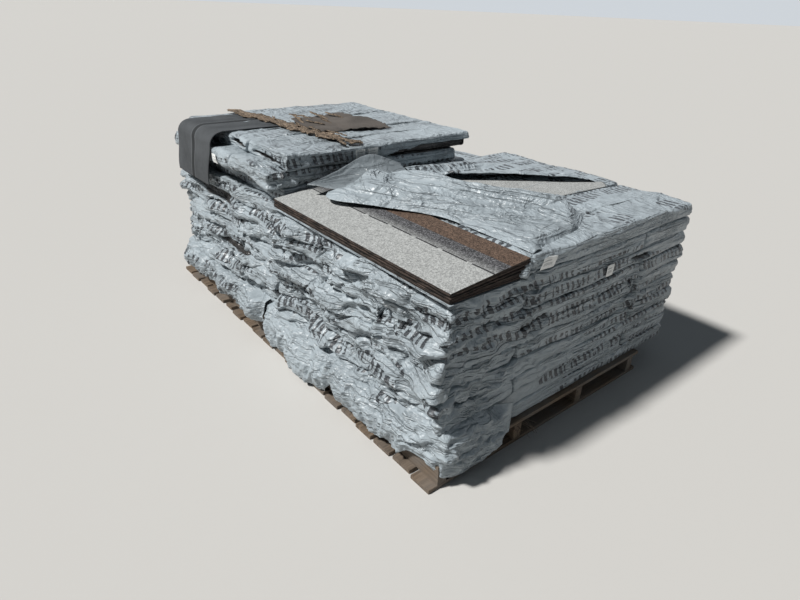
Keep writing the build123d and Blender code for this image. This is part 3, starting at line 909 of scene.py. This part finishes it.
def raised_flap(u, v):
    """A hood of film that stands up at the rear left: ruled from a low lip to a high rim, hollow
    between them, narrowing to a point at its left end."""
    tip = np.array([0.10, 0.93, 0.742])
    lip = along([tip, (0.20, 0.80, 0.738), (0.31, 0.70, 0.742), (0.45, 0.66, 0.745)], u)
    rim = along([tip, (0.27, 0.955, 0.775), (0.42, 0.965, 0.812), (0.56, 0.93, 0.765)], u)
    pos = lip * (1 - v[..., None]) + rim * v[..., None]
    hollow = np.sin(np.pi * v) * smooth(0.0, 0.5, u)
    pos = pos + hollow[..., None] * np.array([0.035, 0.03, -0.020])
    place = from_corner(pos[..., 0], pos[..., 1], pos[..., 2])
    ripple = np.sin(v * 34 + 3 * noise(place / 0.08, 3)) * 0.0022 + 0.0016 * creases(place, 0.09, 95)
    place[..., 2] = np.maximum(place[..., 2] + ripple, FRONT_TOP + 0.004)
    return place, np.stack([u * 0.4, v * 0.3], axis=-1)


def folded_back(u, v):
    """Film torn along a line across the bundles and folded back toward the rear: a patch ruled from
    its torn edge to its rear one. It stands up in a lip and in a ridge, both bell curves, with creases
    between them, and sinks into the bundles at its rear and right."""
    edge = along([(0.60, 0.80), (0.80, 0.67), (1.02, 0.51), (1.25, 0.36)], u)
    rear = along([(0.52, 0.985), (0.80, 0.985), (1.06, 0.96), (1.29, 0.88)], u)
    xy = edge * (1 - v[..., None]) + rear * v[..., None]
    flat = from_corner(xy[..., 0], xy[..., 1], np.zeros_like(u))
    ends = smooth(0.0, 0.18, u) * smooth(1.0, 0.80, u)
    lip = 0.026 * np.exp(-((v - 0.06) / 0.10) ** 2) * ends
    ridge = 0.026 * np.exp(-((v - 0.52 - 0.18 * u) / 0.12) ** 2) * smooth(1.0, 0.4, u)
    fold = creases(flat * (0.6, 1.3, 1.0), 0.16, 99)
    height = 0.008 + lip + ridge + 0.009 * (fold + 0.3)
    sunk = np.clip(smooth(0.86, 1.0, v) + smooth(0.9, 1.0, u), 0, 1)
    flat[..., 2] = FRONT_TOP + REST + np.maximum(height, 0.003) * (1 - sunk) - 0.012 * sunk
    return flat, np.stack([xy[..., 0], xy[..., 1] * PRINT_TOP_SCALE + 0.05], axis=-1)


def bare_patch(u, v):
    """Shingles that show through the torn film: a flat patch ruled from a long left edge to a short
    right one, with a little noise in its height."""
    left = along([(0.68, 0.36), (0.67, 0.55), (0.66, 0.78)], v)
    right = along([(1.20, 0.325), (1.225, 0.345), (1.25, 0.375)], v)
    xy = left * (1 - u[..., None]) + right * u[..., None]
    uneven = 0.001 * noise(xy[..., [0, 1, 0]] / 0.1, 5)
    return from_corner(xy[..., 0], xy[..., 1], FRONT_TOP + 0.001 + uneven)


class SHINGLES_OT_peel_film(bpy.types.Operator):
    """Throw the torn film of the opened bundle back over its neighbours"""
    bl_idname = "shingles.peel_film"
    bl_label = "Peel Film"

    def execute(self, context):
        settings = context.scene.shingle_wrap
        plain = bpy.data.materials["plain_film"]
        film_sheet("thrown_film", thrown_film, 150, 170, plain, settings, ["peeled_film"])
        # Painted shade: the hood's inside is the same film darkened to 0.55
        inside = film_finish("film_inside_painted_shade", settings, printed=False, darker=0.55, wrinkled=0.35)
        film_sheet("raised_flap", raised_flap, 60, 90, inside, settings, ["film_flap"])
        printed = bpy.data.materials["printed_film"]
        film_sheet("folded_back", folded_back, 80, 130, printed, settings, ["film_fold"])
        shingles = context.scene.shingle_sheets
        pale = granule_finish("patch_granules", shade(shingles.pale_granules, 0.5),
                              shade(shingles.pale_granules, 1.2))
        shingle_sheet("bare_patch", bare_patch, 30, 60, pale, 0.003)
        return {"FINISHED"}


# Slack film


def hanging_skirt(front, back, seed, reach):
    """Slack film on the left side, from its top edge in the lowest layers down to a hem that hangs in
    lobes, which are noise along the side. It swings out by a sine of its height times the lobe, lies
    against the load at its two ends and folds in at its hem. seed picks its lobes and reach is how low
    they hang."""

    def surface(u, v):
        y = front + (back - front) * u
        lobe = 0.5 + 0.5 * noise(np.stack([y / 0.16 + seed, y * 0, y * 0], axis=-1), 7)
        fade = smooth(0.0, 0.12, u) * smooth(1.0, 0.88, u)
        bottom = 0.085 - reach * (0.35 + 0.65 * lobe) * fade
        top = DECK_TOP + 0.105
        z = top + (bottom - top) * v
        ends = 0.35 + 0.65 * smooth(0.0, 0.07, u) * smooth(1.0, 0.93, u)
        belly = np.sin(np.pi * np.clip(v * 0.78 + 0.05, 0, 1)) ** 0.8
        swing = 0.020 + 0.066 * belly * (0.45 + 0.55 * lobe) * ends
        pos = from_corner(-swing + 0.040 * smooth(0.16, 0.0, v), y, z)
        drape = creases(pos * (1.0, 1.9, 0.6) + seed, 0.10, 13)
        small = creases(pos + seed, 0.035, 17)
        pos[..., 0] -= 0.017 * (drape + 0.3) * smooth(0, 0.2, v) + 0.006 * small
        pos[..., 0] = np.maximum(pos[..., 0], CAD_BOX[0][0] - PROUD_LEFT)
        pos[..., 2] = np.maximum(pos[..., 2], 0.019)
        return pos, np.stack([y, z], axis=-1)

    return surface


def corner_bag(u, v):
    """The bag of slack film at the left front corner. u leads from the left side round the corner and
    along the front, and v from under the bundles down to a hem that hangs in one half wave. It swells
    outward by a sine of v and by creases."""
    turn = smooth(0.0, 0.45, u)
    x = -0.035 * (1 - turn) + 0.30 * np.clip((u - 0.30) / 0.70, 0, 1) ** 1.1 - 0.004
    y = 0.13 * (1 - u / 0.3).clip(0, 1) - 0.030 * turn
    hem = 0.085 - 0.062 * np.sin(np.pi * np.clip((u - 0.18) / 0.78, 0, 1)) ** 0.8
    top = DECK_TOP + 0.17 - 0.06 * u + 0.012 * noise(np.stack([u * 7, u * 0, u * 0], axis=-1), 77)
    z = top + (hem - top) * v
    full = np.sin(np.pi * np.clip(v * 0.85 + 0.05, 0, 1))
    pos = from_corner(x, y, z)
    crease = creases(pos * (1.0, 1.0, 1.6), 0.09, 19) + 0.4 * creases(pos, 0.032, 29)
    outward = full * (0.022 + 0.021 * crease) - 0.045 * smooth(0.2, 0.0, v)
    pos[..., 0] -= outward * (1 - turn)
    pos[..., 1] -= outward * turn * smooth(1.0, 0.85, u)
    pos[..., 1] = np.maximum(pos[..., 1], CAD_BOX[0][1] - PROUD_FRONT)
    pos[..., 2] = np.maximum(pos[..., 2], 0.012)
    return pos, np.stack([u * 0.4, v * 0.2], axis=-1)


class SHINGLES_OT_hang_slack(bpy.types.Operator):
    """Hang the slack film over the pallet's left side and corner"""
    bl_idname = "shingles.hang_slack"
    bl_label = "Hang Slack Film"

    def execute(self, context):
        settings = context.scene.shingle_wrap
        printed = bpy.data.materials["printed_film"]
        plain = bpy.data.materials["plain_film"]
        film_sheet("skirt_front", hanging_skirt(0.10, 0.56, 3.3, 0.050), 48, 110, plain, settings,
                   ["film_skirt_front"])
        film_sheet("skirt_middle", hanging_skirt(0.55, 1.09, 8.1, 0.095), 48, 120, plain, settings,
                   ["film_skirt_middle"])
        film_sheet("skirt_rear", hanging_skirt(1.12, 2.02, 5.6, 0.012), 40, 170, printed, settings,
                   ["film_skirt_rear"])
        film_sheet("corner_bag", corner_bag, 50, 110, plain, settings, ["film_bag"])
        return {"FINISHED"}


# Loose shingles


def draped_shingle(u, v):
    """A shingle lying over the left edge. Its length s runs flat on top, round a quarter circle and
    straight down, where it drifts toward the rear, with a wave of noise all along it."""
    low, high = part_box("draped_shingle")
    width = high[1] - low[1]
    bend = 0.050
    flat_run = high[0] - low[0] - bend
    hang_run = high[2] - low[2] - bend
    arc = bend * math.pi / 2
    length = flat_run + arc + hang_run
    s = u * length
    on_arc = np.clip((s - flat_run) / arc, 0, 1) * math.pi / 2
    x = high[0] - np.minimum(s, flat_run) - bend * np.sin(on_arc)
    down = bend * (1 - np.cos(on_arc)) + np.clip(s - flat_run - arc, 0, None)
    z = high[2] - down
    y = low[1] + width * v + 0.020 * smooth(flat_run, length, s)
    wave = 0.004 * noise(np.stack([s / 0.12, v * 3, v * 0], axis=-1), 4)
    x = x - np.where(s > flat_run, wave + 0.016 * smooth(flat_run + arc, length, s), 0) - 0.005 * on_arc
    z = z + np.where(s <= flat_run, np.abs(wave), 0)
    return np.stack([x, y, z], axis=-1)


# The torn strips: name, the line that it follows, its width and the seed of its outline
TORN_STRIPS = (
    ("torn_strip_rear", ((0.275, 2.03), (0.31, 1.80), (0.335, 1.60), (0.352, 1.44)), 0.075, 2.0),
    ("torn_strip_front", ((0.330, 1.47), (0.352, 1.32), (0.385, 1.17), (0.415, 1.02)), 0.064, 9.0),
)


def torn_strip(line, width, seed):
    """A strip of torn mat along a line: its half width wanders with broad noise, is made ragged by
    fine noise and narrows at both ends, and the size of a third noise lifts it."""

    def surface(u, v):
        middle = along(line, u)
        rough = noise(np.stack([u * 40 + seed, v * 0, v * 0], axis=-1), 3)
        broad = noise(np.stack([u * 7 + seed, v * 0, v * 0], axis=-1), 4)
        half = width / 2 * (1 + 0.35 * broad) * smooth(-0.03, 0.10, u) * smooth(1.03, 0.9, u)
        cross = (v - 0.5) * 2 * (half + 0.010 * rough)
        lift = 0.007 + 0.012 * np.abs(noise(np.stack([u * 9 + seed, v * 2, v * 0], axis=-1), 6))
        return from_corner(middle[..., 0] + cross, middle[..., 1], REAR_TOP + lift)

    return surface


def torn_sheet(u, v):
    """A torn sheet with its back up: a patch ruled from its left edge to its right one, with a border
    made ragged by fine noise and a height that is the size of a broad noise."""
    left = along([(0.40, 1.30), (0.385, 1.45), (0.42, 1.62)], v)
    right = along([(0.76, 1.25), (0.79, 1.46), (0.74, 1.69)], v)
    xy = left * (1 - u[..., None]) + right * u[..., None]
    jag = 0.012 * noise(np.stack([xy[..., 0] / 0.02, xy[..., 1] / 0.02, u * 0], axis=-1), 8)
    border = smooth(0.08, 0.0, np.minimum(np.minimum(u, 1 - u), np.minimum(v, 1 - v)))
    xy = xy + (jag * border)[..., None]
    swell = noise(np.stack([xy[..., 0] / 0.15, xy[..., 1] / 0.15, u * 0], axis=-1), 9)
    lift = 0.006 + 0.010 * np.abs(swell)
    return from_corner(xy[..., 0], xy[..., 1], REAR_TOP + lift)


def fragments(material):
    """Splinters of torn mat scattered beside the strips and on the torn sheet. Each is a strip turned
    to its own angle: its half width dies out toward its ends with the fourth power, noise makes it
    ragged, and it lifts toward one end."""
    rows, columns = 4, 34
    spots = [(0.30, 1.90), (0.27, 1.78), (0.36, 1.66), (0.31, 1.52), (0.44, 1.58), (0.50, 1.66),
             (0.58, 1.62), (0.47, 1.48), (0.55, 1.52), (0.40, 1.36), (0.36, 1.10), (0.43, 1.22),
             (0.66, 1.60), (0.38, 1.45)]
    verts, faces = [], []
    for index, (x, y) in enumerate(spots):
        pick = hashed(np.array([[index, k, 3] for k in range(4)], dtype=float), 9)
        length, width = 0.07 + 0.13 * pick[0], 0.008 + 0.016 * pick[1]
        angle = 1.75 + 0.7 * (pick[2] - 0.5)
        u, v = np.meshgrid(np.linspace(-0.5, 0.5, columns), np.linspace(-0.5, 0.5, rows))
        jag = noise(np.stack([u * 14 + index, v * 2, u * 0], axis=-1), 12)
        half = width * (1 - (2 * u) ** 4) * (1 + 0.5 * jag) + 0.0015
        run, cross = u * length, v * half + 0.006 * np.sin(u * 5 + index)
        px = x + run * math.cos(angle) - cross * math.sin(angle)
        py = y + run * math.sin(angle) + cross * math.cos(angle)
        level = 0.014 if 0.41 < x < 0.76 else 0.009  # higher where it lies on the torn sheet
        pos = from_corner(px, py, REAR_TOP + level + 0.012 * pick[3] * (u + 0.5) + 0.002 * jag)
        faces.append(grid_faces(rows, columns) + index * rows * columns)
        verts.append(pos.reshape(-1, 3))
    add_piece("torn_fragments", np.vstack(verts), np.vstack(faces), material,
              solid=0.003)


class SHINGLES_OT_loose_shingles(bpy.types.Operator):
    """Lay the loose shingle, the torn sheet and the torn strips on the rear block"""
    bl_idname = "shingles.loose_shingles"
    bl_label = "Loose Shingles"

    def execute(self, context):
        settings = context.scene.shingle_sheets
        low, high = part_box("draped_shingle")
        tape = (low[1] + high[1]) / 2 + 0.01
        back = back_finish("shingle_back", settings, 1, tape)
        plain_back = back_finish("sheet_back", settings, tone=TORN_SHEET_BACK)
        torn = torn_finish("torn_mat", settings)
        shingle_sheet("draped_back", draped_shingle, 50, 120, back, 0.0035,
                      ["draped_shingle"])
        for name, line, width, seed in TORN_STRIPS:
            shingle_sheet(f"{name}_mat", torn_strip(line, width, seed), 9, 220, torn,
                          0.004, [name])
        fragments(torn)
        shingle_sheet("torn_sheet_back", torn_sheet, 56, 64, plain_back, 0.0035,
                      ["torn_sheet"])
        return {"FINISHED"}


# Labels


def label_finish():
    """White label paper with faint generic grey bars where such a label is printed."""
    finish = Finish("label_paper", roughness=0.55, specular=0.4)
    uv = finish.node("ShaderNodeUVMap", {"uv_map": "wrap"})
    u, v = finish.axes(uv)[:2]
    bars = ((u * 16.0).part() < 0.5) * (abs(v - 0.38) < 0.12) * (abs(u - 0.5) < 0.32)
    line = (abs(v - 0.68) < 0.035) * (abs(u - 0.45) < 0.30)
    stain = finish.noise(finish.place(), scale=60.0, detail=3.0)
    paper = finish.blend(finish.ramp(stain, 0.4, 0.7), PAPER, PAPER_STAINED)
    finish.colour(finish.blend((bars + line) * 0.75, paper, LABEL_BARS))
    finish.bump(stain, depth=0.0008)
    return finish.material


# Each label's node, the layer that it is stuck on, and how far its ends curl
LABELS = (
    ("label_opened", "front_bundles_10", 0.010),
    ("label_front", "front_bundles_08", 0.002),
    ("label_rear_1", "rear_bundles_12", 0.003),
    ("label_rear_2", "rear_bundles_12", 0.004),
    ("label_rear_side", "rear_bundles_11", 0.004),
)


def film_reach(layer, axis, along_side, up):
    """Where a layer's film stands at each place of its left (axis 0) or front (axis 1) side: most of
    the way from the mean of the vertices near it, weighted by a bell curve, to the outermost one."""
    mesh = bpy.data.objects[f"wrapped_{layer}"].data
    verts = np.empty(len(mesh.vertices) * 3)
    mesh.vertices.foreach_get("co", verts)
    verts = verts.reshape(-1, 3)
    side = np.abs(verts[:, 1 - axis] - along_side.mean()) < 0.035
    outer = (np.abs(verts[:, 2] - up.mean()) < 0.024) & (verts[:, axis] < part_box(layer)[0][axis] + 0.02)
    near = verts[side & outer]
    distance = (along_side[..., None] - near[:, 1 - axis]) ** 2 + (up[..., None] - near[:, 2]) ** 2
    spread, of_mean, of_outermost = 0.008, 0.3, 0.7
    weight = np.exp(-distance / (2 * spread ** 2)) + 1e-9
    mean = (weight * near[:, axis]).sum(-1) / weight.sum(-1)
    return of_mean * mean + of_outermost * near[:, axis].min()


def stuck_label(name, layer, curl):
    """A label's paper: it lies on its layer's film over its node's box, and curls away from it with
    the square of the distance from its middle, most of all at its upper corners."""
    low, high = (np.array(corner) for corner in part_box(name))

    def surface(u, v):
        z = low[2] + (high[2] - low[2]) * v
        lift = 0.002 + curl * (np.abs(u - 0.5) * 2) ** 2 * v
        if high[1] - low[1] < high[0] - low[0]:
            x = low[0] + (high[0] - low[0]) * u
            return np.stack([x, film_reach(layer, 1, x, z) - lift, z], axis=-1)
        y = high[1] - (high[1] - low[1]) * u
        return np.stack([film_reach(layer, 0, y, z) - lift, y, z], axis=-1)

    return surface


class SHINGLES_OT_stick_labels(bpy.types.Operator):
    """Stick the blank labels on the film"""
    bl_idname = "shingles.stick_labels"
    bl_label = "Stick Labels"

    def execute(self, context):
        paper = label_finish()
        u, v = np.meshgrid(np.linspace(0, 1, 24), np.linspace(0, 1, 16))
        for name, layer, curl in LABELS:
            add_piece(f"{name}_paper", stuck_label(name, layer, curl)(u, v), grid_faces(16, 24), paper,
                      [name], np.stack([u, v], axis=-1), solid=0.0004)
        return {"FINISHED"}


# Pallet


def straw(material):
    """Long splinters of wood that stick out of the pallet's front under the bundles: strips that
    narrow toward their tips and bend down with the square of their length."""
    rows, columns = 2, 12
    verts, faces = [], []
    for index in range(9):
        pick = hashed(np.array([[index, k, 8] for k in range(4)], dtype=float), 3)
        u, v = np.meshgrid(np.linspace(0, 1, columns), np.linspace(-0.5, 0.5, rows))
        reach = 0.05 + 0.05 * pick[0]
        x = 0.34 + 0.010 * index + (pick[1] - 0.5) * 0.09 * u + v * 0.0035 * (1.15 - u)
        y = 0.020 - reach * u
        z = 0.072 - 0.045 * pick[2] * u ** 2 + 0.020 * pick[3] * u
        verts.append(from_corner(x, y, z).reshape(-1, 3))
        faces.append(grid_faces(rows, columns) + index * rows * columns)
    add_piece("splinters", np.vstack(verts), np.vstack(faces), material, solid=0.0012)


class SHINGLES_OT_weather_pallet(bpy.types.Operator):
    """Give the pallet its weathered wood"""
    bl_idname = "shingles.weather_pallet"
    bl_label = "Weather Pallet"

    def execute(self, context):
        settings = context.scene.shingle_pallet
        across = wood_finish("wood_across", settings, 0)
        lengthwise = wood_finish("wood_lengthwise", settings, 1)
        for name in ("top_deck_boards", "bottom_deck_boards"):
            repaint(name, across)
        for index in range(1, 5):
            repaint(f"stringer_{index}", lengthwise)
        straw(lengthwise)
        return {"FINISHED"}


# Stage: the photograph's camera, counted from the load's left front corner, and the sun
LENS = 25.43
CAMERA_PLACE = (-0.980, -0.944, 1.365)
CAMERA_YAW, CAMERA_PITCH, CAMERA_ROLL = np.radians([39.948, 27.463, 2.374])
SUN_TOWARD = np.array([0.82, -0.27, -1.10])
SUN_ANGLE = math.radians(6)
FLOOR_HALF = 300


class SHINGLES_OT_set_stage(bpy.types.Operator):
    """Place the floor, lights and camera"""
    bl_idname = "shingles.set_stage"
    bl_label = "Set Stage"

    def execute(self, context):
        scene = context.scene
        settings = scene.shingle_stage
        mesh = bpy.data.meshes.new("floor")
        corners = [(x * FLOOR_HALF, y * FLOOR_HALF, 0) for x, y in ((-1, -1), (1, -1), (1, 1), (-1, 1))]
        mesh.from_pydata(corners, [], [(0, 1, 2, 3)])
        floor = bpy.data.objects.new("floor", mesh)
        scene.collection.objects.link(floor)
        ground = Finish("floor_paint", roughness=0.95, specular=0.1)
        ground.shader.inputs["Base Color"].default_value = (*settings.floor, 1)
        mesh.materials.append(ground.material)
        world = bpy.data.worlds.new("studio")
        scene.world = world
        world.use_nodes = True
        nodes, links = world.node_tree.nodes, world.node_tree.links
        sky = nodes["Background"]
        sky.inputs["Color"].default_value = SKY
        sky.inputs["Strength"].default_value = settings.fill
        # The pale background, which only the camera, mirrors and glass see
        pale = nodes.new("ShaderNodeBackground")
        pale.inputs["Color"].default_value = (*settings.background, 1)
        ray = nodes.new("ShaderNodeLightPath")
        seen = Wire(world.node_tree, ray.outputs["Is Camera Ray"]).maths(
            "MAXIMUM", Wire(world.node_tree, ray.outputs["Is Glossy Ray"])).maths(
            "MAXIMUM", Wire(world.node_tree, ray.outputs["Is Transmission Ray"]))
        both = nodes.new("ShaderNodeMixShader")
        links.new(seen.socket, both.inputs[0])
        links.new(sky.outputs[0], both.inputs[1])
        links.new(pale.outputs[0], both.inputs[2])
        links.new(both.outputs[0], nodes["World Output"].inputs["Surface"])
        lamp = bpy.data.lights.new("key", "SUN")
        lamp.energy = settings.key
        lamp.angle = SUN_ANGLE
        lamp.color = SUN
        key = bpy.data.objects.new("key", lamp)
        scene.collection.objects.link(key)
        key.matrix_world = look_matrix(-SUN_TOWARD * 4, SUN_TOWARD)
        camera_data = bpy.data.cameras.new("camera")
        camera_data.sensor_fit = "HORIZONTAL"
        camera_data.sensor_width = 36.0
        camera_data.lens = LENS
        camera = bpy.data.objects.new("camera", camera_data)
        scene.collection.objects.link(camera)
        camera.matrix_world = camera_matrix()
        scene.camera = camera
        scene.view_settings.view_transform = "Standard"
        return {"FINISHED"}


def look_matrix(place, toward):
    """A matrix at a place whose -z axis points along a direction."""
    back = -np.asarray(toward, dtype=float)
    back /= np.linalg.norm(back)
    right = np.cross((0, 0, 1), back)
    right /= np.linalg.norm(right)
    up = np.cross(back, right)
    turn = np.eye(4)
    turn[:3, 0], turn[:3, 1], turn[:3, 2], turn[:3, 3] = right, up, back, place
    return Matrix(turn.tolist())


def camera_matrix():
    """The camera's matrix from its yaw from +y toward +x, its pitch down and its roll."""
    sin_y, cos_y = math.sin(CAMERA_YAW), math.cos(CAMERA_YAW)
    sin_p, cos_p = math.sin(CAMERA_PITCH), math.cos(CAMERA_PITCH)
    forward = np.array([sin_y * cos_p, cos_y * cos_p, -sin_p])
    right = np.array([cos_y, -sin_y, 0.0])
    up = np.cross(right, forward)
    rolled_right = right * math.cos(CAMERA_ROLL) + up * math.sin(CAMERA_ROLL)
    rolled_up = up * math.cos(CAMERA_ROLL) - right * math.sin(CAMERA_ROLL)
    turn = np.eye(4)
    turn[:3, 0], turn[:3, 1], turn[:3, 2] = rolled_right, rolled_up, -forward
    turn[:3, 3] = CORNER + np.array(CAMERA_PLACE)
    return Matrix(turn.tolist())


OPERATORS = (
    SHINGLES_OT_set_stage,
    SHINGLES_OT_wrap_bundles,
    SHINGLES_OT_bare_shingles,
    SHINGLES_OT_peel_film,
    SHINGLES_OT_hang_slack,
    SHINGLES_OT_loose_shingles,
    SHINGLES_OT_stick_labels,
    SHINGLES_OT_weather_pallet,
)


class SHINGLES_PT_panel(bpy.types.Panel):
    """Lists the steps that dress the load, and the sizes and colours that they use"""
    bl_label = "Shingle Load"
    bl_idname = "SHINGLES_PT_panel"
    bl_space_type = "VIEW_3D"
    bl_region_type = "UI"
    bl_category = "Shingles"

    def draw(self, context):
        for operator in OPERATORS:
            self.layout.operator(operator.bl_idname)
        for name in SETTINGS:
            group = getattr(context.scene, name)
            box = self.layout.box()
            for value in group.__annotations__:
                box.prop(group, value)


SETTINGS = {
    "shingle_wrap": WrapSettings,
    "shingle_sheets": ShingleSettings,
    "shingle_pallet": PalletSettings,
    "shingle_stage": StageSettings,
}


def register():
    for group in SETTINGS.values():
        bpy.utils.register_class(group)
    for operator in OPERATORS:
        bpy.utils.register_class(operator)
    bpy.utils.register_class(SHINGLES_PT_panel)
    for name, group in SETTINGS.items():
        setattr(bpy.types.Scene, name, PointerProperty(type=group))


def unregister():
    for name in SETTINGS:
        delattr(bpy.types.Scene, name)
    bpy.utils.unregister_class(SHINGLES_PT_panel)
    for operator in reversed(OPERATORS):
        bpy.utils.unregister_class(operator)
    for group in reversed(SETTINGS.values()):
        bpy.utils.unregister_class(group)


def main():
    register()
    for operator in OPERATORS:
        category, name = operator.bl_idname.split(".")
        result = getattr(getattr(bpy.ops, category), name)()
        if result != {"FINISHED"}:
            raise RuntimeError(f"{operator.bl_label} did not finish")


if __name__ == "__main__":
    main()
